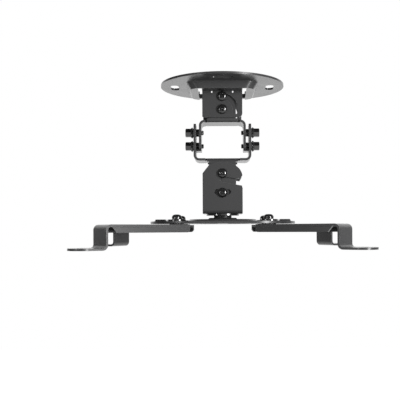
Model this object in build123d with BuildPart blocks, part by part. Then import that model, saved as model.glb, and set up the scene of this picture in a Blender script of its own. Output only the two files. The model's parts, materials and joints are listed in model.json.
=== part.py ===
from build123d import *
import os
from math import cos, radians, sin, sqrt

# Projector ceiling mount, in millimetres.
# The origin is the centre of the ceiling plate's upper face, so the ceiling is the plane Z = 0.
# +X is to the right and +Y away from someone who stands in front of the mount, and +Z is up.

# Sheet thicknesses
bracket_sheet = 2.3
plate_sheet = 2.0
arm_sheet = 2.0

# Gaps left between parts that slide or turn on each other
slide_gap = 0.1
turn_gap = 0.05

# Shanks, and the holes and slots around them
screw_d = 5.0
snug_hole_d = 5.1
free_slot_w = 5.4
swivel_d = 8.0
swivel_hole_d = 8.1

# Ceiling plate: a disc with a pocket pressed down in the middle, its front wall the steeper one
disc_r = 61.0
pocket_drop = 6.9
pocket_mouth = (68.0, 56.0)
pocket_mouth_y = -1.9
pocket_floor = (57.0, 53.0)
pocket_floor_y = -2.5
pocket_corner_r = 8.0
opening_half_x = 23.4
opening_play = 0.6
relief_front_y = -29.0
cable_opening_y = 45.0
ceiling_slot = (21.0, 8.0)
ceiling_slot_r = 47.2

# Heights of the joints below the ceiling, and the second screw's distance in each
top_pivot_z = -26.5
top_lock_pitch = 12.6
side_pivot_z = -60.5
side_lock_pitch = 13.4
hang_z = -88.9
roll_lock_pitch = 18.9

# Sweep of the arc slots, in degrees from the screw's place at rest
top_slot_sweep = 100.0
middle_slot_sweep = 17.0
roll_slot_sweep = 17.0
slot_end_play = 2.0

# Bracket legs in front of and behind the tongues
tongue_face_y = 15.0
leg_in_y = tongue_face_y + slide_gap
leg_out_y = leg_in_y + bracket_sheet
leg_half_w = 19.5
leg_fold_r = 3.5

# Ceiling bracket
ceiling_leg_bottom_z = -34.1
ceiling_leg_corner_r = (1.0, 3.5)
ceiling_web_half_w = 9.6
relief_slit_w = 1.2
relief_slit_z = -10.5
wing_x = 26.5
wing_y = (16.5, 21.0)

# Cross brackets
upper_web_top_z = -36.1
lower_web_top_z = -73.7
tongue_half_w = 13.2
tongue_root_half_w = 15.0
tongue_top_r = 18.4
lower_tongue_end_z = -114.5
ear_half_w = 13.5
ear_corner_r = 6.0
ear_fold_r = 5.5
inner_ear_x = 23.0
outer_ear_in_x = 26.0
outer_ear_x = outer_ear_in_x + bracket_sheet
inner_ear_bottom_z = -66.0
outer_ear_top_z = -39.1
relief_w = 2.0
relief_depth_y = 11.0
relief_corner_r = 0.9
collar_r = 3.8
collar_h = 1.6
lip_half_w = 7.5

# Drop bracket
drop_web_bottom_z = -128.1
dome_top_z = -77.8

# Swivel stack and spider plate
top_washer_r = 16.2
top_washer_t = 1.75
spacer_r = 8.8
spacer_t = 2.2
lower_washer_r = (13.4, 15.0)
lower_washer_t = 1.5
spider_length = 144.0
spider_width = 90.0
spider_raise = 2.0
raised_r = 33.0
bead_x = 61.0
bead_size = (12.0, 32.0)
bead_corner_r = (4.0, 3.0)
press_slope = 2.0
press_wall = 1.0
swivel_head_r = 8.0
swivel_head_t = 1.9
swivel_nut_flats = 13.0
swivel_nut_h = 8.0
swivel_nut_washer = (8.0, 1.6)
swivel_bolt_stands = 1.0

# Arms, laid out along their own length from the screw's place near the slot's inner end
arm_pivot = (43.7, 32.0)
front_arm_angle = 35.0
front_arm_out = 0.6
rear_arm_angle = 27.0
rear_arm_out = -0.9
arm_width = 27.0
arm_height = 7.4
arm_inner_end = -7.0
flange_end = 72.0
flange_slant = 4.5
end_chamfer = 2.0
arm_web_s = 77.6
arm_tip_s = 107.2
foot_hole_s = 96.4
foot_hole_d = 6.4
foot_tip_r = 12.0
arm_slot = (-1.0, 34.0)
foot_bottom_z = -161.5
arm_fold_r = 4.0

# Screws, nuts and washers
pan_head_r = 4.75
pan_head_h = 3.7
pan_head_dome = 2.4
pan_screw_l = 8.0
recess = (4.8, 1.1, 1.9)
hex_flats = 8.0
hex_head_h = 5.4
hex_flange_r = (5.5, 4.7)
hex_flange_h = 1.9
side_bolt_tip_x = 18.7
spring_washer_r = 4.6
spring_washer_t = 1.2
fender_r = 8.5
fender_t = 1.6
under_washer_r = 7.0
under_washer_t = 0.8
nut_h = 4.0
hex_edge = 0.6
screw_past_nut = 0.6

# Heights worked out from the stack
upper_web_mid_z = upper_web_top_z - bracket_sheet / 2
lower_web_mid_z = lower_web_top_z - bracket_sheet / 2
drop_web_mid_z = drop_web_bottom_z + bracket_sheet / 2
ceiling_web_mid_z = -pocket_drop + bracket_sheet / 2
swivel_top_z = drop_web_bottom_z - turn_gap
spacer_top_z = swivel_top_z - top_washer_t
lower_washer_top_z = spacer_top_z - spacer_t
raised_top_z = lower_washer_top_z - lower_washer_t
spider_top_z = raised_top_z - spider_raise
spider_bottom_z = spider_top_z - bracket_sheet
under_washer_top_z = spider_bottom_z - turn_gap
arm_top_z = under_washer_top_z - under_washer_t - turn_gap

os.makedirs("parts", exist_ok=True)


def save(piece, name):
    """Label a finished piece and write it as parts/name.step."""
    piece.part.label = name
    export_step(piece.part, f"parts/{name}.step")


def folded_channel(plane, web_z, leg_end_z, outer, half_length, fold):
    """U channel of bracket sheet: a level web centred on web_z and two legs that end at leg_end_z."""
    reach = outer - bracket_sheet / 2
    with BuildPart() as channel:
        with BuildSketch(plane):
            with BuildLine():
                FilletPolyline(
                    (-reach, leg_end_z),
                    (-reach, web_z),
                    (reach, web_z),
                    (reach, leg_end_z),
                    radius=fold - bracket_sheet / 2,
                )
            trace(line_width=bracket_sheet)
        extrude(amount=half_length, both=True)
    return channel.part


def far_face(piece, plane):
    """The face furthest along a plane's normal."""
    return piece.faces().sort_by(Axis(plane.origin, plane.z_dir))[-1]


# Arc slots, as their centre lines on an upright plane seen from the front
top_slot_line = CenterArc(
    (0, top_pivot_z), top_lock_pitch, 90 + slot_end_play, -(top_slot_sweep + slot_end_play)
)
roll_slot_line = CenterArc((0, hang_z), roll_lock_pitch, 270 - roll_slot_sweep, 2 * roll_slot_sweep)
middle_slot_line = CenterArc(
    (0, side_pivot_z), side_lock_pitch, 90 - middle_slot_sweep, 2 * middle_slot_sweep
)

# Ceiling plate: disc, pressed pocket, ceiling slots, and the opening for the bracket and the cables
with BuildPart() as ceiling_plate:
    with BuildSketch(Plane.XY):
        Circle(disc_r)
    extrude(amount=-plate_sheet)
    for wall, mode in ((plate_sheet, Mode.ADD), (0, Mode.SUBTRACT)):
        with BuildSketch(Plane.XY):
            with Locations((0, pocket_mouth_y)):
                RectangleRounded(pocket_mouth[0] + 2 * wall, pocket_mouth[1] + 2 * wall, pocket_corner_r + wall)
        with BuildSketch(Plane.XY.offset(-pocket_drop - wall)):
            with Locations((0, pocket_floor_y)):
                RectangleRounded(pocket_floor[0] + 2 * wall, pocket_floor[1] + 2 * wall, pocket_corner_r + wall)
        loft(mode=mode)
    with BuildSketch(Plane.XY):
        with BuildLine():
            right_side = Polyline(
                (0, -leg_out_y),
                (leg_half_w, -leg_out_y),
                (leg_half_w, relief_front_y),
                (opening_half_x, relief_front_y),
                (opening_half_x, wing_y[0]),
                (leg_half_w + opening_play, wing_y[0]),
                (leg_half_w + opening_play, wing_y[1] + opening_play),
                (opening_half_x, wing_y[1] + opening_play),
                (opening_half_x, cable_opening_y),
                (0, cable_opening_y),
            )
            mirror(right_side, about=Plane.YZ)
        make_face()
    extrude(amount=-2 * pocket_drop, mode=Mode.SUBTRACT)
    with BuildSketch(Plane.XY):
        with Locations((-ceiling_slot_r, 0), (ceiling_slot_r, 0)):
            SlotOverall(*ceiling_slot, rotation=90)
        with Locations((0, -ceiling_slot_r)):
            SlotOverall(*ceiling_slot)
    extrude(amount=-plate_sheet, mode=Mode.SUBTRACT)
save(ceiling_plate, "ceiling_plate")

# Ceiling bracket: a U with two wide legs, a narrow web and two wings that lie on the pocket floor
ceiling_legs = folded_channel(
    Plane.YZ, ceiling_web_mid_z, ceiling_leg_bottom_z, leg_out_y, leg_half_w, leg_fold_r
)
with BuildPart() as ceiling_bracket:
    add(ceiling_legs)
    with BuildSketch(Plane.XY):
        with Locations((-leg_half_w, 0), (leg_half_w, 0)):
            Rectangle(2 * (leg_half_w - ceiling_web_half_w), 2 * (leg_in_y - 1))
    extrude(amount=ceiling_leg_bottom_z, mode=Mode.SUBTRACT)
    with BuildSketch(Plane.XZ):
        with Locations((-ceiling_web_half_w - relief_slit_w / 2, 0), (ceiling_web_half_w + relief_slit_w / 2, 0)):
            Rectangle(relief_slit_w, -2 * relief_slit_z)
        SlotArc(top_slot_line, free_slot_w)
        with Locations((0, top_pivot_z)):
            Circle(snug_hole_d / 2)
    extrude(amount=2 * leg_out_y, both=True, mode=Mode.SUBTRACT)
    with BuildSketch(Plane.XY.offset(-pocket_drop)):
        with Locations((0, sum(wing_y) / 2)):
            Rectangle(2 * wing_x, wing_y[1] - wing_y[0])
    extrude(amount=bracket_sheet)
    for end, corner_r in zip((0, -1), ceiling_leg_corner_r):
        leg_corners = ceiling_bracket.edges().filter_by(Axis.Y).group_by(Axis.Z)[0].group_by(Axis.X)[end]
        fillet(leg_corners, radius=corner_r)
save(ceiling_bracket, "ceiling_bracket")

# Cross brackets: folded from a cross-shaped sheet, two arms turned up and two turned down
def cross_blank(web_z, ear_end_z, ear_outer_x, tongues):
    """Ears and web with rounded ear ends and corner reliefs, and the shaped tongues added."""
    ears = folded_channel(Plane.XZ, web_z, ear_end_z, ear_outer_x, ear_half_w, ear_fold_r)
    down = ear_end_z < web_z
    relief_reach = 2 * ear_half_w
    with BuildPart() as blank:
        add(ears)
        fillet(blank.edges().filter_by(Axis.X).group_by(Axis.Z)[0 if down else -1], radius=ear_corner_r)
        with BuildSketch(Plane.XY.offset(web_z)):
            with Locations((0, relief_depth_y + relief_reach / 2), (0, -relief_depth_y - relief_reach / 2)):
                RectangleRounded(2 * (tongue_root_half_w + relief_w), relief_reach, relief_corner_r)
        extrude(amount=bracket_sheet, both=True, mode=Mode.SUBTRACT)
        add(tongues)
    return blank.part


def shaped_tongues(web_z, end_z, root_z, outline_end):
    """Tongues folded from the web, wider at the fold, with the outline's own end."""
    channel = folded_channel(Plane.YZ, web_z, end_z, tongue_face_y, tongue_root_half_w, leg_fold_r)
    fold_z = web_z - (root_z - web_z)
    with BuildPart() as tongues:
        add(channel)
        with BuildSketch(Plane.XZ):
            with Locations((0, (fold_z + root_z) / 2)):
                Rectangle(2 * tongue_root_half_w, abs(root_z - fold_z))
            add(outline_end)
        extrude(amount=2 * tongue_face_y, both=True, mode=Mode.INTERSECT)
    return tongues.part


# The upper tongues end in an arc about the pivot, so they clear the bracket's web as they turn
tongue_shoulder_z = top_pivot_z + sqrt(tongue_top_r**2 - tongue_half_w**2)
with BuildSketch() as upper_tongue_outline:
    with BuildLine():
        Polyline(
            (-tongue_half_w, tongue_shoulder_z),
            (-tongue_half_w, upper_web_top_z),
            (tongue_half_w, upper_web_top_z),
            (tongue_half_w, tongue_shoulder_z),
        )
        ThreePointArc(
            (tongue_half_w, tongue_shoulder_z),
            (0, top_pivot_z + tongue_top_r),
            (-tongue_half_w, tongue_shoulder_z),
        )
    make_face()
upper_tongues = shaped_tongues(
    upper_web_mid_z, top_pivot_z + tongue_top_r, upper_web_mid_z + bracket_sheet, upper_tongue_outline.sketch
)
upper_blank = cross_blank(upper_web_mid_z, inner_ear_bottom_z, inner_ear_x, upper_tongues)

with BuildSketch() as lower_tongue_outline:
    with Locations((0, (lower_tongue_end_z + lower_web_mid_z) / 2)):
        Rectangle(2 * tongue_half_w, lower_web_mid_z - lower_tongue_end_z)
    fillet(lower_tongue_outline.vertices().group_by(Axis.Y)[0], radius=ear_corner_r)
lower_tongues = shaped_tongues(
    lower_web_mid_z, lower_tongue_end_z, lower_web_mid_z - bracket_sheet, lower_tongue_outline.sketch
)
lower_blank = cross_blank(lower_web_mid_z, outer_ear_top_z, outer_ear_x, lower_tongues)

# Upper cross bracket: tapped collars drawn from tongues and ears, and a lip at each ear's foot
with BuildPart() as upper_cross_bracket:
    add(upper_blank)
    for side in (-1, 1):
        with BuildSketch(Plane.XZ.offset(-side * tongue_face_y)):
            with Locations((0, top_pivot_z), (0, top_pivot_z + top_lock_pitch)):
                Circle(collar_r)
        extrude(amount=side * (bracket_sheet + collar_h))
        with BuildSketch(Plane.YZ.offset(side * (inner_ear_x - bracket_sheet))):
            with Locations((0, side_pivot_z), (0, side_pivot_z + side_lock_pitch)):
                Circle(collar_r)
            with Locations((0, inner_ear_bottom_z + bracket_sheet / 2)):
                Rectangle(2 * lip_half_w, bracket_sheet)
        extrude(amount=side * (outer_ear_in_x - turn_gap - inner_ear_x + bracket_sheet))
    with BuildSketch(Plane.XZ):
        with Locations((0, top_pivot_z), (0, top_pivot_z + top_lock_pitch)):
            Circle(screw_d / 2)
    extrude(amount=tongue_face_y, both=True, mode=Mode.SUBTRACT)
    with BuildSketch(Plane.YZ):
        with Locations((0, side_pivot_z), (0, side_pivot_z + side_lock_pitch)):
            Circle(screw_d / 2)
    extrude(amount=outer_ear_x, both=True, mode=Mode.SUBTRACT)
save(upper_cross_bracket, "upper_cross_bracket")

# Lower cross bracket: pivot hole and arc slot in the ears, tapped collars in the tongues
with BuildPart() as lower_cross_bracket:
    add(lower_blank)
    for side in (-1, 1):
        with BuildSketch(Plane.XZ.offset(-side * tongue_face_y)):
            with Locations((0, hang_z), (0, hang_z - roll_lock_pitch)):
                Circle(collar_r)
        extrude(amount=side * (bracket_sheet + collar_h))
    with BuildSketch(Plane.XZ):
        with Locations((0, hang_z), (0, hang_z - roll_lock_pitch)):
            Circle(screw_d / 2)
    extrude(amount=tongue_face_y, both=True, mode=Mode.SUBTRACT)
    with BuildSketch(Plane.YZ):
        with Locations((0, side_pivot_z)):
            Circle(snug_hole_d / 2)
        SlotArc(middle_slot_line, free_slot_w)
    extrude(amount=outer_ear_x, both=True, mode=Mode.SUBTRACT)
save(lower_cross_bracket, "lower_cross_bracket")

# Drop bracket: a U whose legs hang on the two upper screws by open L-shaped slots
drop_legs = folded_channel(Plane.YZ, drop_web_mid_z, dome_top_z, leg_out_y, leg_half_w, leg_fold_r)
with BuildPart() as drop_bracket:
    add(drop_legs)
    with BuildSketch(Plane.XZ):
        with BuildLine():
            Polyline(
                (17.2, -94.4),
                (leg_half_w, -103.5),
                (leg_half_w, drop_web_bottom_z),
                (-leg_half_w, drop_web_bottom_z),
                (-leg_half_w, -88.8),
                (-13.0, -80.5),
            )
            ThreePointArc((-13.0, -80.5), (-0.5, dome_top_z), (12.6, -81.4))
            ThreePointArc((12.6, -81.4), (17.7, -86.3), (19.3, -90.9))
            Line((19.3, -90.9), (17.2, -94.4))
        make_face()
        with BuildLine():
            Polyline(
                (-snug_hole_d / 2, hang_z),
                (snug_hole_d / 2, hang_z),
                (snug_hole_d / 2, -92.3),
                (30.0, -96.3),
                (30.0, -103.0),
                (-0.4, -97.4),
                (-snug_hole_d / 2, -95.4),
                close=True,
            )
        make_face(mode=Mode.SUBTRACT)
        with Locations((0, hang_z)):
            Circle(snug_hole_d / 2, mode=Mode.SUBTRACT)
        SlotArc(roll_slot_line, free_slot_w, mode=Mode.SUBTRACT)
    extrude(amount=2 * leg_out_y, both=True, mode=Mode.INTERSECT)
    with BuildSketch(Plane.XY.offset(drop_web_mid_z)):
        Circle(swivel_hole_d / 2)
    extrude(amount=bracket_sheet, both=True, mode=Mode.SUBTRACT)
save(drop_bracket, "drop_bracket")


def pan_screw(plane, length, name):
    """Pan head screw with a cross recess; the plane lies under the head and faces outwards."""
    slot_l, slot_w, slot_depth = recess
    with BuildPart() as screw:
        with BuildSketch(plane):
            Circle(pan_head_r)
        extrude(amount=pan_head_h)
        fillet(far_face(screw, plane).edges(), radius=pan_head_dome)
        with BuildSketch(plane.offset(pan_head_h)):
            Rectangle(slot_l, slot_w)
            Rectangle(slot_w, slot_l)
        extrude(amount=-slot_depth, mode=Mode.SUBTRACT)
        with BuildSketch(plane):
            Circle(screw_d / 2)
        extrude(amount=-length)
    save(screw, name)


def hex_bolt(plane, length, name):
    """Hexagon bolt with a conical flange; the plane lies under the flange and faces outwards."""
    with BuildPart() as bolt:
        with BuildSketch(plane):
            Circle(hex_flange_r[0])
        with BuildSketch(plane.offset(hex_flange_h)):
            Circle(hex_flange_r[1])
        loft()
        with BuildSketch(plane.offset(hex_flange_h)):
            RegularPolygon(hex_flats / 2, 6, major_radius=False)
        extrude(amount=hex_head_h)
        chamfer(far_face(bolt, plane).edges(), length=hex_edge)
        with BuildSketch(plane):
            Circle(screw_d / 2)
        extrude(amount=-length)
    save(bolt, name)


def ring(plane, outer_r, inner_r, thickness, name):
    """Flat washer that stands on its plane."""
    with BuildPart() as washer:
        with BuildSketch(plane):
            Circle(outer_r)
            Circle(inner_r, mode=Mode.SUBTRACT)
        extrude(amount=thickness)
    save(washer, name)


def hex_nut(plane, flats, height, bore_d, name):
    """Hexagon nut that stands on its plane."""
    with BuildPart() as nut:
        with BuildSketch(plane):
            RegularPolygon(flats / 2, 6, major_radius=False)
        extrude(amount=height)
        chamfer(far_face(nut, plane).edges(), length=hex_edge)
        with BuildSketch(plane):
            Circle(bore_d / 2)
        extrude(amount=height, mode=Mode.SUBTRACT)
    save(nut, name)


# Screws of the top and lower joints, one in front and one behind each
head_y = leg_out_y + turn_gap
for place, normal in (("front", (0, -1, 0)), ("rear", (0, 1, 0))):
    for height, title in (
        (top_pivot_z, "top_pivot_screw"),
        (top_pivot_z + top_lock_pitch, "top_lock_screw"),
        (hang_z, "hang_screw"),
        (hang_z - roll_lock_pitch, "roll_lock_screw"),
    ):
        under_head = Plane(origin=(0, normal[1] * head_y, height), x_dir=(1, 0, 0), z_dir=normal)
        pan_screw(under_head, pan_screw_l, f"{title}_{place}")

# Bolts of the middle joint, each with its spring washer, left and right
washer_x = outer_ear_x + turn_gap
for place, side in (("left", -1), ("right", 1)):
    for height, title in (
        (side_pivot_z, "side_pivot"),
        (side_pivot_z + side_lock_pitch, "side_lock"),
    ):
        on_ear = Plane(origin=(side * washer_x, 0, height), x_dir=(0, side, 0), z_dir=(side, 0, 0))
        ring(on_ear, spring_washer_r, screw_d / 2, spring_washer_t, f"{title}_washer_{place}")
        hex_bolt(
            on_ear.offset(spring_washer_t),
            washer_x + spring_washer_t - side_bolt_tip_x,
            f"{title}_bolt_{place}",
        )

# Swivel: washers and a spacer between the drop bracket and the spider plate, and the bolt through them
ring(Plane.XY.offset(spacer_top_z), top_washer_r, swivel_d / 2, top_washer_t, "swivel_top_washer")
ring(Plane.XY.offset(lower_washer_top_z), spacer_r, swivel_d / 2, spacer_t, "swivel_spacer")
with BuildPart() as swivel_lower_washer:
    with BuildSketch(Plane.XY.offset(raised_top_z)):
        Circle(lower_washer_r[1])
    with BuildSketch(Plane.XY.offset(lower_washer_top_z)):
        Circle(lower_washer_r[0])
    loft()
    with BuildSketch(Plane.XY.offset(raised_top_z)):
        Circle(swivel_d / 2)
    extrude(amount=lower_washer_t, mode=Mode.SUBTRACT)
save(swivel_lower_washer, "swivel_lower_washer")

nut_seat_z = drop_web_bottom_z + bracket_sheet + turn_gap
washer_r, washer_t = swivel_nut_washer
ring(Plane.XY.offset(nut_seat_z), washer_r, swivel_d / 2, washer_t, "swivel_nut_washer")
hex_nut(
    Plane.XY.offset(nut_seat_z + washer_t), swivel_nut_flats, swivel_nut_h, swivel_d, "swivel_nut"
)
with BuildPart() as swivel_bolt:
    with BuildSketch(Plane.XY.offset(raised_top_z - bracket_sheet)):
        Circle(swivel_head_r)
    extrude(amount=-swivel_head_t)
    with BuildSketch(Plane.XY.offset(raised_top_z - bracket_sheet)):
        Circle(swivel_d / 2)
    extrude(amount=nut_seat_z + washer_t + swivel_nut_h + swivel_bolt_stands - raised_top_z + bracket_sheet)
save(swivel_bolt, "swivel_bolt")

# Spider plate: long rounded plate, centre pressed up, a pressed bead at each end
with BuildPart() as spider_plate:
    with BuildSketch(Plane.XY.offset(spider_bottom_z)):
        SlotOverall(spider_length, spider_width)
    extrude(amount=bracket_sheet)
    for level, mode in ((spider_top_z, Mode.ADD), (spider_bottom_z, Mode.SUBTRACT)):
        grow = 0 if mode == Mode.ADD else -press_wall
        foot_size = [size + 2 * grow for size in bead_size]
        crest_size = [size - press_slope for size in foot_size]
        with BuildSketch(Plane.XY.offset(level)):
            Circle(raised_r + press_slope + grow)
        with BuildSketch(Plane.XY.offset(level + spider_raise)):
            Circle(raised_r + grow)
        loft(mode=mode)
        for side in (-1, 1):
            with BuildSketch(Plane.XY.offset(level)):
                with Locations((side * bead_x, 0)):
                    RectangleRounded(*foot_size, bead_corner_r[0])
            with BuildSketch(Plane.XY.offset(level + spider_raise)):
                with Locations((side * bead_x, 0)):
                    RectangleRounded(*crest_size, bead_corner_r[1])
            loft(mode=mode)
    with BuildSketch(Plane.XY.offset(spider_bottom_z)):
        Circle(swivel_d / 2)
        with Locations(*[(x * arm_pivot[0], y * arm_pivot[1]) for x in (-1, 1) for y in (-1, 1)]):
            Circle(snug_hole_d / 2)
    extrude(amount=2 * bracket_sheet, mode=Mode.SUBTRACT)
save(spider_plate, "spider_plate")


def build_arm(plane, name):
    """Channel arm with a long slot, a bend down and a foot; the plane lies on its top at the screw."""
    half_w = arm_width / 2
    along = Axis(plane.origin, plane.x_dir)
    side_view = Plane(origin=plane.origin, x_dir=plane.x_dir, z_dir=-plane.y_dir)
    end_view = Plane(
        origin=plane.origin + plane.x_dir * arm_inner_end, x_dir=plane.y_dir, z_dir=plane.x_dir
    )
    top_mid = -arm_sheet / 2
    foot_mid = foot_bottom_z - arm_top_z + arm_sheet / 2
    with BuildPart() as arm:
        with BuildSketch(side_view):
            with BuildLine():
                FilletPolyline(
                    (arm_inner_end, top_mid),
                    (arm_web_s, top_mid),
                    (arm_web_s, foot_mid),
                    (arm_tip_s, foot_mid),
                    radius=arm_fold_r,
                )
            trace(line_width=arm_sheet)
        extrude(amount=half_w, both=True)
        fillet(arm.edges().filter_by(Axis.Z).group_by(along)[-1], radius=foot_tip_r)
        with BuildSketch(end_view):
            with BuildLine():
                FilletPolyline(
                    (-half_w - top_mid, -arm_height),
                    (-half_w - top_mid, top_mid),
                    (half_w + top_mid, top_mid),
                    (half_w + top_mid, -arm_height),
                    radius=arm_sheet,
                )
            trace(line_width=arm_sheet)
        extrude(amount=flange_end - arm_inner_end)
        with BuildSketch(side_view):
            with BuildLine():
                Polyline(
                    (flange_end - flange_slant, -arm_height),
                    (flange_end, -arm_sheet),
                    (flange_end, -arm_height),
                    close=True,
                )
            make_face()
            with BuildLine():
                Polyline(
                    (arm_inner_end, -arm_height),
                    (arm_inner_end + end_chamfer, -arm_height),
                    (arm_inner_end, -arm_height + end_chamfer),
                    close=True,
                )
            make_face()
        extrude(amount=half_w, both=True, mode=Mode.SUBTRACT)
        with BuildSketch(plane):
            with Locations((sum(arm_slot) / 2, 0)):
                SlotCenterToCenter(arm_slot[1] - arm_slot[0], free_slot_w)
            with Locations((foot_hole_s, 0)):
                Circle(foot_hole_d / 2)
        extrude(amount=foot_bottom_z - arm_top_z, mode=Mode.SUBTRACT)
    save(arm, name)


# Arms, and the screw, washers and nut that clamp each one under the spider plate
for corner, x_side, y_side, angle, arm_out in (
    ("front_left", -1, -1, front_arm_angle, front_arm_out),
    ("front_right", 1, -1, front_arm_angle, front_arm_out),
    ("rear_left", -1, 1, rear_arm_angle, rear_arm_out),
    ("rear_right", 1, 1, rear_arm_angle, rear_arm_out),
):
    pivot = (x_side * arm_pivot[0], y_side * arm_pivot[1])
    outwards = (x_side * cos(radians(angle)), y_side * sin(radians(angle)), 0)
    arm_plane = Plane(origin=(*pivot, arm_top_z), x_dir=outwards, z_dir=(0, 0, 1))
    arm_plane.origin += arm_plane.x_dir * arm_out
    build_arm(arm_plane, f"arm_{corner}")
    on_spider = Plane(origin=(*pivot, spider_top_z + turn_gap), x_dir=outwards, z_dir=(0, 0, 1))
    on_top_washer = on_spider.offset(fender_t)
    under_head = on_top_washer.offset(spring_washer_t)
    nut_top_z = arm_top_z - arm_sheet - turn_gap
    ring(on_spider, fender_r, screw_d / 2, fender_t, f"arm_top_washer_{corner}")
    ring(on_top_washer, spring_washer_r, screw_d / 2, spring_washer_t, f"arm_spring_washer_{corner}")
    screw_length = under_head.origin.Z - nut_top_z + nut_h + screw_past_nut
    pan_screw(under_head, screw_length, f"arm_screw_{corner}")
    under_spider = on_spider.offset(under_washer_top_z - under_washer_t - on_spider.origin.Z)
    ring(under_spider, under_washer_r, screw_d / 2, under_washer_t, f"arm_lower_washer_{corner}")
    nut_seat = on_spider.offset(nut_top_z - nut_h - on_spider.origin.Z)
    hex_nut(nut_seat, hex_flats, nut_h, screw_d, f"arm_nut_{corner}")
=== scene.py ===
# %% [markdown]
# # A projector ceiling mount in black painted steel
#
# The mount hangs from a ceiling by a round plate. Two cross-shaped brackets, a hook-on bracket and a
# swivel lead down to a long plate with four arms, whose feet take a projector. Almost every piece is
# sheet steel, cut, folded and painted satin black, and the screws are a glossier black.
#
# The solid pieces come in from the measured model. This notebook gives them their finish and adds
# the detail that the solid model leaves plain.

# %% Load the measured model
import bpy
import bmesh
import json
import math
from mathutils import Matrix, Vector


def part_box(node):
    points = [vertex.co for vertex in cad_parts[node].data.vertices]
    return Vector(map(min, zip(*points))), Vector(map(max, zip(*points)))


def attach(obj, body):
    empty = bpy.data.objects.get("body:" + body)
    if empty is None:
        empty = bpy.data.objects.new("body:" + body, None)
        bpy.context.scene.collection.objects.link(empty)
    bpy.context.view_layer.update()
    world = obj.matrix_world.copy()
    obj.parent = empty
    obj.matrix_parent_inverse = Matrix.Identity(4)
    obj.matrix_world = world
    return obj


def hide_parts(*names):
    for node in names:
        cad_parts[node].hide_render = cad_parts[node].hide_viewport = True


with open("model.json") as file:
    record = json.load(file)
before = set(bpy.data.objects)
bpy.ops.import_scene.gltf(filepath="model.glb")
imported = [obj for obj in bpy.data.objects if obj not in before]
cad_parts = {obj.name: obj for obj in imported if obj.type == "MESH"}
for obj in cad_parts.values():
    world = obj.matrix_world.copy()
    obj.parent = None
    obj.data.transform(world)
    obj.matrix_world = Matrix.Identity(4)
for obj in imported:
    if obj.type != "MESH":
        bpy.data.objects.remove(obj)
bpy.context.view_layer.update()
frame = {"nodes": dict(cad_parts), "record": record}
solids = frame["nodes"]

# %% [markdown]
# ## The camera
#
# The picture looks along +Y from straight in front, 144 mm below the ceiling, a little under the
# lower bracket. The ceiling plate is seen from below and the spider plate from above, which fixes
# that height. How quickly the near arms grow against the far ones fixes the distance. One pixel is
# one millimetre at the mount's middle.
#
# The object is off the picture's middle because the photographer cropped it that way, and lens shift
# does the same here without turning the camera. The picture leans by a quarter of a degree, and so
# does the camera.

# %% Set the camera
mm = 0.001
picture_px = 400
picture_width = picture_px * mm
film_width_mm = 36
camera_distance = 650 * mm
eye_level = -143.65 * mm
middle_column = 222.8
eye_row = 229.5
camera_roll = math.radians(0.25)

camera_data = bpy.data.cameras.new("camera")
camera_data.sensor_width = film_width_mm
camera_data.lens = film_width_mm * camera_distance / picture_width
camera_data.shift_x = (picture_px / 2 - middle_column) / picture_px
camera_data.shift_y = (eye_row - picture_px / 2) / picture_px
camera_data.clip_start = 0.01
camera = bpy.data.objects.new("camera", camera_data)
camera.location = (0, -camera_distance, eye_level)
camera.rotation_euler = (math.radians(90), camera_roll, 0)
bpy.context.collection.objects.link(camera)
bpy.context.scene.camera = camera
bpy.context.scene.view_settings.view_transform = "Standard"
print("lens", round(camera_data.lens, 1), "mm")

# %% [markdown]
# ## Light, floor and background
#
# The picture is a product shot on pure white. Black paint shows its shape mostly by what it
# reflects, so the surround is bright and two of the lamps are tall soft boxes, which draw upright
# highlights on the screw heads. The stronger one stands to the right and in front, level with the
# ceiling plate, and the heads cast their shadows to the left. A wide, weak box near the camera lifts
# the flat fronts.
#
# The floor is a metre under the ceiling. To the camera it is pure white far behind the mount and a
# little greyer under it, so that the mount's soft shadow shows. For that it glows more with the
# distance from the ceiling plate. The white of the surround and the glow of the floor reach only
# the camera and mirror images, and the lighting is set apart from them.

# %% Helpers for node trees
def new_material(name):
    """An empty node material, with what makes a node, what links two sockets, and the output."""
    material = bpy.data.materials.new(name)
    material.use_nodes = True
    tree = material.node_tree
    tree.nodes.clear()
    output = tree.nodes.new("ShaderNodeOutputMaterial")
    return material, tree.nodes.new, tree.links.new, output


def math_node(make, link, operation, first, second):
    """A Math node on two values or sockets, and its result."""
    node = make("ShaderNodeMath")
    node.operation = operation
    for socket, value in zip(node.inputs, (first, second)):
        if hasattr(value, "is_output"):
            link(value, socket)
        else:
            socket.default_value = value
    return node.outputs[0]


def seen_directly(make, link):
    """1 where the camera, a mirror or glass looks at a surface, 0 where it only lights the scene."""
    path = make("ShaderNodeLightPath")
    total = math_node(make, link, "ADD", path.outputs["Is Camera Ray"], path.outputs["Is Glossy Ray"])
    total = math_node(make, link, "ADD", total, path.outputs["Is Transmission Ray"])
    return math_node(make, link, "MINIMUM", total, 1.0)


# %% Make the white surround
white = (1, 1, 1, 1)
surround_as_seen = 1.0
surround_as_light = 0.18

world = bpy.data.worlds.new("white_room")
world.use_nodes = True
room = world.node_tree
room.nodes.clear()
room_output = room.nodes.new("ShaderNodeOutputWorld")
seen = room.nodes.new("ShaderNodeBackground")
seen.inputs["Color"].default_value = white
seen.inputs["Strength"].default_value = surround_as_seen
lighting = room.nodes.new("ShaderNodeBackground")
lighting.inputs["Color"].default_value = white
lighting.inputs["Strength"].default_value = surround_as_light
mix = room.nodes.new("ShaderNodeMixShader")
room.links.new(seen_directly(room.nodes.new, room.links.new), mix.inputs[0])
room.links.new(lighting.outputs[0], mix.inputs[1])
room.links.new(seen.outputs[0], mix.inputs[2])
room.links.new(mix.outputs[0], room_output.inputs[0])
bpy.context.scene.world = world
print("surround is seen at", surround_as_seen, "and lights at", surround_as_light)

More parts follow.
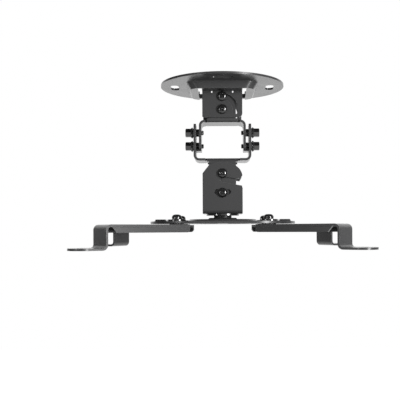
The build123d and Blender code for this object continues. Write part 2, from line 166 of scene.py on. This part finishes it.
# %% Lay the floor
floor_drop = 1.0
floor_half_size = 4.0
floor_mesh = bmesh.new()
bmesh.ops.create_grid(floor_mesh, x_segments=1, y_segments=1, size=floor_half_size)
bmesh.ops.translate(floor_mesh, verts=floor_mesh.verts, vec=(0, 0, -floor_drop))
floor_data = bpy.data.meshes.new("floor")
floor_mesh.to_mesh(floor_data)
floor_mesh.free()
floor = bpy.data.objects.new("floor", floor_data)
bpy.context.collection.objects.link(floor)
print("floor", floor_drop, "m below the ceiling")

# %% Whiten the floor
floor_shade = 0.82
near_distance = 1.1
far_distance = 2.5
glow_near = 0.58
glow_far = 0.90

floor_material, make, link, out = new_material("white_floor")
matte = make("ShaderNodeBsdfDiffuse")
matte.inputs["Color"].default_value = (floor_shade, floor_shade, floor_shade, 1)
glow = make("ShaderNodeEmission")
glow.inputs["Color"].default_value = white
distance = make("ShaderNodeVectorMath")
distance.operation = "LENGTH"
link(make("ShaderNodeTexCoord").outputs["Object"], distance.inputs[0])
whiteness = make("ShaderNodeMapRange")
whiteness.inputs["From Min"].default_value = near_distance
whiteness.inputs["From Max"].default_value = far_distance
whiteness.inputs["To Min"].default_value = glow_near
whiteness.inputs["To Max"].default_value = glow_far
link(distance.outputs["Value"], whiteness.inputs["Value"])
glow_as_seen = math_node(make, link, "MULTIPLY", seen_directly(make, link), whiteness.outputs[0])
link(glow_as_seen, glow.inputs["Strength"])
both = make("ShaderNodeAddShader")
link(matte.outputs[0], both.inputs[0])
link(glow.outputs[0], both.inputs[1])
link(both.outputs[0], out.inputs[0])
floor_data.materials.append(floor_material)
print("floor glows", glow_near, "near the mount and", glow_far, "far from it")


# %% Place the soft boxes
def soft_box(name, place, aim, width, height, power):
    """A rectangular area light that points at a spot on the mount."""
    data = bpy.data.lights.new(name, "AREA")
    data.shape = "RECTANGLE"
    data.size = width
    data.size_y = height
    data.energy = power
    lamp = bpy.data.objects.new(name, data)
    lamp.location = place
    lamp.rotation_euler = (Vector(aim) - Vector(place)).to_track_quat("-Z", "Y").to_euler()
    bpy.context.collection.objects.link(lamp)
    print(name, "gives", power, "W")


mount_middle = (0, 0, -0.09)
soft_box("right_box", place=(0.80, -0.95, 0.0), aim=mount_middle, width=0.30, height=0.60, power=19.5)
soft_box("left_box", place=(-0.86, -0.92, -0.04), aim=mount_middle, width=0.08, height=0.55, power=2.7)
soft_box("front_box", place=(0.15, -1.3, -0.10), aim=mount_middle, width=0.90, height=0.50, power=0.7)

# %% [markdown]
# ### The grey screen
#
# White all round would put a white mirror image on every black side, and the mount would look grey.
# Photographers stand grey screens beside and behind the camera, outside the picture. This one is a
# tube of card with a lid, open below, and open at the back, where the white background is. It shows
# only in reflections.

# %% Make the grey screen
screen_radius = 2.0
screen_height = 2.4
opening_at_back = math.radians(56)
card_brightness = 0.15

screen_mesh = bmesh.new()
bmesh.ops.create_cone(
    screen_mesh,
    cap_ends=True,
    segments=72,
    radius1=screen_radius,
    radius2=screen_radius,
    depth=screen_height,
)
bottom = [face for face in screen_mesh.faces if face.normal.z < -0.5]
side = [face for face in screen_mesh.faces if abs(face.normal.z) < 0.5]
backward = Vector((0, 1))
back = [face for face in side if face.calc_center_median().xy.angle(backward) < opening_at_back]
bmesh.ops.delete(screen_mesh, geom=bottom + back, context="FACES")
screen_data = bpy.data.meshes.new("grey_screen")
screen_mesh.to_mesh(screen_data)
screen_mesh.free()
screen = bpy.data.objects.new("grey_screen", screen_data)
bpy.context.collection.objects.link(screen)
screen.visible_camera = False
screen.visible_diffuse = False
screen.visible_transmission = False
screen.visible_shadow = False

screen_material, make, link, out = new_material("grey_card")
card = make("ShaderNodeEmission")
card.inputs["Color"].default_value = white
card.inputs["Strength"].default_value = card_brightness
link(card.outputs[0], out.inputs[0])
screen_data.materials.append(screen_material)
print("screen with an opening of", round(math.degrees(2 * opening_at_back)), "degrees at the back")

# %% [markdown]
# ## Satin black paint on the pressings
#
# Powder coat is a thin plastic skin, baked on. It is nearly black, it mirrors the room faintly, and
# at a low angle it mirrors it strongly, which is why the underside of the ceiling plate looks grey.
# A single glossy layer is either too dull on the fronts or too bright at low angles, so the paint
# has two weak ones, a satin layer and a clear coat over it.
#
# Its surface has a fine orange-peel texture, and its edges are painted paler, which is a painted
# highlight. Noise on object coordinates drives the colour, the gloss and the bump, so no two
# pieces are alike, and the bevel node rounds the sheet's cut edges a little so that they catch the
# light.


# %% Helpers for the finishes
def noise(make, link, place, per_metre, detail):
    """Noise on a piece's own coordinates."""
    texture = make("ShaderNodeTexNoise")
    texture.inputs["Scale"].default_value = per_metre
    texture.inputs["Detail"].default_value = detail
    link(place, texture.inputs["Vector"])
    return texture.outputs["Fac"]


def find_edges(make, link, radius):
    """The normal with its edges rounded, and a factor of 1 on edges and 0 on flat faces, which places the
    painted edge highlight.
    """
    flat_facing = 0.98
    edge_facing = 0.80
    rounded = make("ShaderNodeBevel")
    rounded.samples = 6
    rounded.inputs["Radius"].default_value = radius
    facing = make("ShaderNodeVectorMath")
    facing.operation = "DOT_PRODUCT"
    link(rounded.outputs["Normal"], facing.inputs[0])
    link(make("ShaderNodeNewGeometry").outputs["Normal"], facing.inputs[1])
    edge_highlight_mask = make("ShaderNodeMapRange")
    edge_highlight_mask.inputs["From Min"].default_value = flat_facing
    edge_highlight_mask.inputs["From Max"].default_value = edge_facing
    link(facing.outputs["Value"], edge_highlight_mask.inputs["Value"])
    return rounded.outputs["Normal"], edge_highlight_mask.outputs[0]


# %% Paint recipe
coat_roughness = 0.26
coat_index = 1.3
mottles_per_metre = 45
glossier_by = 0.04
duller_by = 0.05
blue_of_black = 1.02
peel_strength = 0.25


def black_finish(name, shade, specular, roughness, coat, peel_size, peel_height, edge_radius, painted_edge_highlight):
    """Black paint or plating with a fine texture, rounded edges and a painted highlight on its edges."""
    material, make, link, out = new_material(name)
    shader = make("ShaderNodeBsdfPrincipled")
    shader.inputs["Specular IOR Level"].default_value = specular
    shader.inputs["Coat Weight"].default_value = coat
    shader.inputs["Coat Roughness"].default_value = coat_roughness
    shader.inputs["Coat IOR"].default_value = coat_index
    place = make("ShaderNodeTexCoord").outputs["Object"]
    mottle = noise(make, link, place, mottles_per_metre, detail=4)
    peel = noise(make, link, place, 1 / peel_size, detail=2)
    rounded_normal, edge_highlight_mask = find_edges(make, link, edge_radius)

    # Edges are painted paler, a painted highlight that the mottle breaks up.
    tint = make("ShaderNodeMix")
    tint.data_type = "RGBA"
    tint.inputs["A"].default_value = (shade, shade, shade * blue_of_black, 1)
    tint.inputs["B"].default_value = (painted_edge_highlight, painted_edge_highlight, painted_edge_highlight, 1)
    link(math_node(make, link, "MULTIPLY", edge_highlight_mask, mottle), tint.inputs["Factor"])
    link(tint.outputs["Result"], shader.inputs["Base Color"])

    gloss = make("ShaderNodeMapRange")
    gloss.inputs["From Min"].default_value = 0.3
    gloss.inputs["From Max"].default_value = 0.7
    gloss.inputs["To Min"].default_value = roughness - glossier_by
    gloss.inputs["To Max"].default_value = roughness + duller_by
    link(mottle, gloss.inputs["Value"])
    link(gloss.outputs[0], shader.inputs["Roughness"])

    bump = make("ShaderNodeBump")
    bump.inputs["Strength"].default_value = peel_strength
    bump.inputs["Distance"].default_value = peel_height
    link(peel, bump.inputs["Height"])
    link(rounded_normal, bump.inputs["Normal"])
    link(bump.outputs["Normal"], shader.inputs["Normal"])
    link(shader.outputs[0], out.inputs[0])
    return material


# %% [markdown]
# ### The three blacks
#
# One recipe makes all three. The paint has the clear coat and the palest painted highlight on its
# edges. The plating on the screws has no coat, and is darker and much glossier. The plastic of the
# swivel's spacer and the lower washers is duller than the paint, with hardly any painted highlight
# on its edges.

# %% Mix the three blacks
# The edge colour of each black is a painted highlight, set in place of the light its edges catch.
satin_black = black_finish(
    "satin_black_paint",
    shade=0.040,
    specular=0.21,
    roughness=0.36,
    coat=1.0,
    peel_size=0.0011,
    peel_height=0.00012,
    edge_radius=0.00030,
    painted_edge_highlight=0.30,
)
gloss_black = black_finish(
    "gloss_black_plating",
    shade=0.009,
    specular=0.90,
    roughness=0.14,
    coat=0.0,
    peel_size=0.0018,
    peel_height=0.00005,
    edge_radius=0.00020,
    painted_edge_highlight=0.08,
)
black_plastic = black_finish(
    "black_plastic",
    shade=0.018,
    specular=0.30,
    roughness=0.45,
    coat=0.0,
    peel_size=0.0009,
    peel_height=0.00008,
    edge_radius=0.00025,
    painted_edge_highlight=0.03,
)
print("finishes:", ", ".join(finish.name for finish in (satin_black, gloss_black, black_plastic)))

# %% [markdown]
# ## Screws, bolts, nuts and spring washers
#
# The fasteners are what the eye goes to on a mount like this: shiny black pan heads with a cross
# recess, hexagon bolts with a flange, split spring washers under them, and nuts. The measured model
# has them as plain solids. Here each kind is made once, standing upright with its seat at height
# zero, and a copy is turned on to the axis of each solid that it stands for.
#
# Turned shapes are spun from half an outline, whose points are radius and height in millimetres. The
# thread is a small wedge spun many times round while it climbs by one pitch a turn. Hexagon
# corners get their curved chamfers in the way a lathe cuts them: the prism is intersected with a
# turned blank.

# %% Helpers for turned shapes and cuts
weld_distance = 0.001 * mm


def turned(outline, steps):
    """A closed shape spun about Z from an outline that begins and ends on the axis."""
    shape = bmesh.new()
    corners = [shape.verts.new((radius * mm, 0, height * mm)) for radius, height in outline]
    edges = [shape.edges.new(pair) for pair in zip(corners, corners[1:])]
    bmesh.ops.spin(
        shape,
        geom=corners + edges,
        cent=(0, 0, 0),
        axis=(0, 0, 1),
        dvec=(0, 0, 0),
        angle=math.tau,
        steps=steps,
        use_merge=True,
    )
    bmesh.ops.remove_doubles(shape, verts=shape.verts, dist=weld_distance)
    bmesh.ops.recalc_face_normals(shape, faces=shape.faces)
    return shape


def as_mesh(shape, name="blank"):
    """A mesh from a bmesh, which is freed."""
    mesh = bpy.data.meshes.new(name)
    shape.to_mesh(mesh)
    shape.free()
    return mesh


def combine(first, second, operation):
    """Boolean of two meshes, as a new mesh."""
    pair = [bpy.data.objects.new("work", mesh) for mesh in (first, second)]
    for item in pair:
        bpy.context.collection.objects.link(item)
    modifier = pair[0].modifiers.new("combine", "BOOLEAN")
    modifier.operation = operation
    modifier.solver = "EXACT"
    modifier.object = pair[1]
    depsgraph = bpy.context.evaluated_depsgraph_get()
    result = bpy.data.meshes.new_from_object(pair[0].evaluated_get(depsgraph))
    for item in pair:
        bpy.data.objects.remove(item)
    return result


def join_meshes(*meshes):
    """One bmesh that holds several meshes."""
    shape = bmesh.new()
    for mesh in meshes:
        shape.from_mesh(mesh)
    return shape


# %% Thread and shank
def threaded_shank(radius, pitch, low, high, plain=0.0):
    """A core from low to high, plain at its top and threaded below, with a pointed-off tip."""
    core = radius - 0.6 * pitch
    point = 0.35
    shank = turned([
        (0, low),
        (core - point, low),
        (core, low + point),
        (core, high - plain),
        (radius, high - plain),
        (radius, high),
        (0, high),
    ], steps=32)

    steps_per_turn = 24
    thread_starts = 0.25
    thread_stops_short = 0.3
    turns = (high - plain - low - thread_stops_short - pitch) / pitch
    foot = core - 0.15
    start = low + thread_starts
    ridge = (
        (foot, start),
        (radius, start + 0.45 * pitch),
        (radius, start + 0.55 * pitch),
        (foot, start + pitch),
    )
    profile = shank.faces.new([shank.verts.new((r * mm, 0, z * mm)) for r, z in ridge])
    bmesh.ops.spin(
        shank,
        geom=[profile],
        cent=(0, 0, 0),
        axis=(0, 0, 1),
        dvec=(0, 0, pitch / steps_per_turn * mm),
        angle=turns * math.tau,
        steps=round(turns * steps_per_turn),
    )
    bmesh.ops.recalc_face_normals(shank, faces=shank.faces)
    return as_mesh(shank)


# %% Put a fastener where its solid is
record = frame["record"]
body_of = {node: body for body, members in record["behaviour"]["bodies"].items() for node in members}
slot_of = {part["node"]: part["material_slot"] for part in record["subparts"]}
finish_of_slot = {
    "satin_black": satin_black,
    "gloss_black": gloss_black,
    "black_plastic": black_plastic,
}
crease_angle = math.radians(35)


def make_piece(shape, node):
    """Turn a bmesh into a piece that stands for one solid and moves with its body."""
    mesh = as_mesh(shape, f"{node}_detailed")
    mesh.materials.append(finish_of_slot[slot_of[node]])
    mesh.polygons.foreach_set("material_index", [0] * len(mesh.polygons))
    mesh.shade_smooth()
    mesh.set_sharp_from_angle(angle=crease_angle)
    piece = bpy.data.objects.new(f"{node}_detailed", mesh)
    bpy.context.collection.objects.link(piece)
    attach(piece, body_of[node])
    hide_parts(node)


def seat_of(node, outward, head_height):
    """Matrix that puts Z = 0 at a fastener's seat, with Z pointing outward from the mount."""
    low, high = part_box(node)
    outward = Vector(outward)
    middle = (Vector(low) + Vector(high)) / 2
    reach = max(outward.dot(Vector(low)), outward.dot(Vector(high))) - head_height * mm
    place = middle - outward * outward.dot(middle) + outward * reach
    turn = Vector((0, 0, 1)).rotation_difference(outward)
    return Matrix.Translation(place) @ turn.to_matrix().to_4x4()


def place_copy(mesh, node, matrix, spin_angle=0.0):
    """A copy of a template mesh, turned about its own axis and moved to its seat."""
    shape = bmesh.new()
    shape.from_mesh(mesh)
    bmesh.ops.transform(shape, verts=shape.verts, matrix=matrix @ Matrix.Rotation(spin_angle, 4, "Z"))
    make_piece(shape, node)


# %% [markdown]
# ### Pan head screws
#
# The heads are 9.5 mm across and 3.7 mm high, with a flat rim, a low dome and a cross recess that
# gets narrower as it goes down. The recess is cut with a tapered cross and a small cone, which
# breaks the corners between its wings as the punch does. Nobody lines up the recesses of screws, so
# each one is turned by another angle, in degrees.


# %% Make the cutter for the recess
def spread_cross(verts, inner_limit, wing_length, wing_half_width, height):
    """Move the points of a three by three grid into a cross with wings of this size."""
    for vert in verts:
        for axis in (0, 1):
            reach = wing_length if abs(vert.co[axis]) > inner_limit else wing_half_width
            vert.co[axis] = math.copysign(reach, vert.co[axis]) * mm
        vert.co.z = height * mm


bottom_cross = {"wing_length": 1.15, "wing_half_width": 0.42}
top_cross = {"wing_length": 2.55, "wing_half_width": 0.62}
above_head = 0.4


def cross_cutter(top_z, depth):
    """A tapered cross: a square grid without its corners, drawn upwards and widened."""
    cutter = bmesh.new()
    bmesh.ops.create_grid(cutter, x_segments=3, y_segments=3, size=1.5)
    middles = [(face, face.calc_center_median()) for face in cutter.faces]
    corner_faces = [face for face, middle in middles if min(abs(middle.x), abs(middle.y)) > 0.5]
    bmesh.ops.delete(cutter, geom=corner_faces, context="FACES")
    spread_cross(cutter.verts, inner_limit=1, height=top_z - depth, **bottom_cross)
    raised = bmesh.ops.extrude_face_region(cutter, geom=cutter.faces[:])
    top = [item for item in raised["geom"] if isinstance(item, bmesh.types.BMVert)]
    spread_cross(top, inner_limit=1 * mm, height=top_z + above_head, **top_cross)
    bmesh.ops.recalc_face_normals(cutter, faces=cutter.faces)
    return as_mesh(cutter)


# %% Make the pan head
pan_height = 3.7
recess_depth = 2.2
cone_depth = 2.3

pan_head = as_mesh(turned([
    (0, pan_height),
    (1.2, pan_height - 0.04),
    (2.4, pan_height - 0.2),
    (3.3, pan_height - 0.55),
    (4.0, pan_height - 1.1),
    (4.45, pan_height - 1.75),
    (4.7, pan_height - 2.6),
    (4.75, 0.5),
    (4.7, 0.2),
    (4.5, 0.02),
    (4.3, 0),
    (0, 0),
], steps=48))
recess_cone = as_mesh(turned([
    (0, pan_height - cone_depth),
    (0.5, pan_height - cone_depth),
    (1.35, pan_height + 0.3),
    (0, pan_height + 0.3),
], steps=8))
pan_head = combine(pan_head, cross_cutter(pan_height, recess_depth), "DIFFERENCE")
pan_head = combine(pan_head, recess_cone, "DIFFERENCE")
print("pan head:", len(pan_head.polygons), "faces")

# %% Screw the brackets together
thread_radius = 2.48
thread_pitch = 0.8
short_shank = 8.0
sunk_in_head = 0.01
outward_at = {"front": (0, -1, 0), "rear": (0, 1, 0), "left": (-1, 0, 0), "right": (1, 0, 0)}
upward = (0, 0, 1)

short_screw = as_mesh(join_meshes(
    pan_head, threaded_shank(thread_radius, thread_pitch, -short_shank, sunk_in_head)
))
joint_screws = [node for node in body_of if node.endswith(("screw_front", "screw_rear"))]
turn_of_recess = {"top_pivot": 12, "top_lock": 50, "hang": 28, "roll_lock": 71}
turn_of_side = {"front": 0, "rear": 33}
for node in joint_screws:
    joint, side = node.split("_screw_")
    seat = seat_of(node, outward_at[side], pan_height)
    place_copy(short_screw, node, seat, math.radians(turn_of_recess[joint] + turn_of_side[side]))
print(len(joint_screws), "short screws made")

# %% Screw the arms on
corners = ("front_left", "front_right", "rear_left", "rear_right")
first_screw_turn = 20
next_screw_turn = 37
low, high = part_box("arm_screw_front_left")
long_shank = (high[2] - low[2]) / mm - pan_height
long_screw = as_mesh(join_meshes(
    pan_head, threaded_shank(thread_radius, thread_pitch, -long_shank, sunk_in_head)
))
for index, corner in enumerate(corners):
    node = f"arm_screw_{corner}"
    turn = math.radians(first_screw_turn + next_screw_turn * index)
    place_copy(long_screw, node, seat_of(node, upward, pan_height), turn)
print(len(corners), "long screws made,", round(long_shank, 1), "mm under the head")

# %% [markdown]
# ### Flanged hexagon bolts and the nuts
#
# The side bolts have an 8 mm hexagon on a conical flange. The nuts under the arms and the larger one
# on the swivel are plain hexagons, chamfered on both faces and at the mouth of the bore. A chamfer
# from a bevel would be flat and run along the hexagon's edges, where the real one is a piece of a
# cone and bites into the corners only, which is why the turned blank does it here.


# %% Make a hexagon
def hexagon(flats, low, high, chamfer, both_ends=False):
    """A hexagon prism with its corners rounded off by a turned blank, as a mesh."""
    corner_radius = flats / 2 / math.cos(math.radians(30))
    prism = bmesh.new()
    bmesh.ops.create_cone(
        prism,
        cap_ends=True,
        segments=6,
        radius1=corner_radius * mm,
        radius2=corner_radius * mm,
        depth=(high - low) * mm,
    )
    bmesh.ops.translate(prism, verts=prism.verts, vec=(0, 0, (high + low) / 2 * mm))
    widest = corner_radius + 0.02
    narrow = flats / 2 - 0.25
    blank = [(0, high), (narrow, high), (widest, high - chamfer)]
    if both_ends:
        blank += [(widest, low + chamfer), (narrow, low), (0, low)]
    else:
        blank += [(widest, low), (0, low)]
    return combine(as_mesh(prism), as_mesh(turned(blank, steps=72)), "INTERSECT")


# %% Bolt the sides
bolt_flats = 8.0
bolt_head = 7.3
flange_top = 1.9

bolt_hexagon = hexagon(bolt_flats, flange_top - 0.05, bolt_head, chamfer=0.55)
flange = as_mesh(turned([
    (0, flange_top + 0.3),
    (3.9, flange_top + 0.3),
    (4.3, flange_top),
    (4.75, flange_top - 0.1),
    (5.35, 0.75),
    (5.5, 0.45),
    (5.45, 0.12),
    (5.25, 0),
    (0, 0),
], steps=48))
low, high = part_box("side_pivot_bolt_right")
bolt_shank = (high[0] - low[0]) / mm - bolt_head
flange_bolt = as_mesh(join_meshes(
    bolt_hexagon, flange, threaded_shank(thread_radius, thread_pitch, -bolt_shank, sunk_in_head)
))
side_bolts = [node for node in body_of if node.startswith("side_") and "_bolt_" in node]
for node in side_bolts:
    side = node.split("_bolt_")[1]
    place_copy(flange_bolt, node, seat_of(node, outward_at[side], bolt_head))
print(len(side_bolts), "flanged bolts made")


# %% Make the nuts
def nut(flats, height, bore_radius):
    """A chamfered hexagon nut with a countersunk bore, standing on Z = 0."""
    solid = hexagon(flats, 0, height, chamfer=0.09 * flats, both_ends=True)
    mouth = bore_radius + 0.35
    sink = 0.4
    bore = turned([
        (0, height + 1),
        (mouth + 1, height + 1),
        (mouth, height),
        (bore_radius, height - sink),
        (bore_radius, sink),
        (mouth, 0),
        (mouth + 1, -1),
        (0, -1),
    ], steps=32)
    return combine(solid, as_mesh(bore), "DIFFERENCE")


arm_nut_height = 4.0
first_nut_turn = 8
next_nut_turn = 19
arm_nut = nut(flats=8.0, height=arm_nut_height, bore_radius=2.5)
for index, corner in enumerate(corners):
    node = f"arm_nut_{corner}"
    turn = math.radians(first_nut_turn + next_nut_turn * index)
    place_copy(arm_nut, node, seat_of(node, upward, arm_nut_height), turn)
swivel_nut_height = 8.0
swivel_nut_turn = 30
swivel_nut = nut(flats=13.0, height=swivel_nut_height, bore_radius=4.0)
swivel_nut_seat = seat_of("swivel_nut", upward, swivel_nut_height)
place_copy(swivel_nut, "swivel_nut", swivel_nut_seat, math.radians(swivel_nut_turn))
print(len(corners) + 1, "nuts made")

# %% [markdown]
# ### Split spring washers
#
# A spring washer is one turn of square wire, cut through and twisted so that its ends bite. Tightened
# it is nearly flat, so only the narrow cut and a small step are left to see. A ring with a slot cut
# in it would miss the step, so the wire's section is spun almost all the way round as it climbs.


# %% Make the spring washers
def spring_washer(outer, inner, thickness):
    """A rectangle of wire spun almost all the way round, climbing a little."""
    climb = 0.18 * thickness
    wire = thickness - climb
    rounding = 0.12
    section = (
        (inner, 0),
        (outer - rounding, 0),
        (outer, rounding),
        (outer, wire - rounding),
        (outer - rounding, wire),
        (inner, wire),
    )
    steps = 56
    shape = bmesh.new()
    profile = shape.faces.new([shape.verts.new((r * mm, 0, z * mm)) for r, z in section])
    bmesh.ops.spin(
        shape,
        geom=[profile],
        cent=(0, 0, 0),
        axis=(0, 0, 1),
        dvec=(0, 0, climb / steps * mm),
        angle=math.radians(348),
        steps=steps,
    )
    bmesh.ops.recalc_face_normals(shape, faces=shape.faces)
    return as_mesh(shape)


washer_thickness = 1.2
first_cut_turn = 100
next_cut_turn = 67
spring_kinds = ("arm_spring_washer_", "side_pivot_washer_", "side_lock_washer_")
washer = spring_washer(outer=4.6, inner=2.52, thickness=washer_thickness)
spring_washers = [node for node in body_of if node.startswith(spring_kinds)]
for index, node in enumerate(spring_washers):
    outward = upward if node.startswith("arm_") else outward_at[node.split("_washer_")[1]]
    seat = seat_of(node, outward, washer_thickness)
    place_copy(washer, node, seat, math.radians(first_cut_turn + next_cut_turn * index))
print(len(spring_washers), "spring washers made")

# %% [markdown]
# ### The swivel bolt
#
# One stout bolt carries the spider plate. Its low button head lies under the plate, and its thread
# goes up through the washers into the 13 mm nut. The head shows from below, so its rounded rim is
# spun from an outline, and the shank is the one of the screws at another size, turned upside down.

# %% Make the swivel bolt
low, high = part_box("swivel_bolt")
swivel_length = (high[2] - low[2]) / mm
swivel_head = 1.9
button = as_mesh(turned([
    (0, -swivel_head),
    (4.0, -swivel_head),
    (6.6, -swivel_head + 0.25),
    (7.7, -swivel_head + 0.9),
    (8.0, -0.5),
    (7.95, -0.1),
    (7.8, 0),
    (0, 0),
], steps=64))
swivel_radius = 3.97
swivel_pitch = 1.25
plain_part = 6.0
shank = threaded_shank(
    swivel_radius, swivel_pitch, swivel_head - swivel_length, sunk_in_head, plain=plain_part
)
flipped = join_meshes(shank)
half_turn = Matrix.Rotation(math.pi, 3, "X")
bmesh.ops.rotate(flipped, verts=flipped.verts, cent=(0, 0, 0), matrix=half_turn)
swivel_bolt = as_mesh(join_meshes(button, as_mesh(flipped)))
swivel_seat = seat_of("swivel_bolt", upward, swivel_length - swivel_head)
place_copy(swivel_bolt, "swivel_bolt", swivel_seat)
print("swivel bolt made,", round(swivel_length, 1), "mm long")

# %% [markdown]
# ## Plates, brackets, arms and flat washers
#
# Cut and folded sheet has its whole shape in the measured model, down to the relief notches at the
# bends, so those solids stay as they are and only need their paint. The flat washers and the
# swivel's spacer stay too. Every solid gets the finish of its slot, also one that is hidden behind a
# detailed piece.

# %% Give each solid its finish
for part in record["subparts"]:
    solid = solids[part["node"]]
    solid.data.materials.clear()
    solid.data.materials.append(finish_of_slot[part["material_slot"]])
print(len(solids), "solids finished")
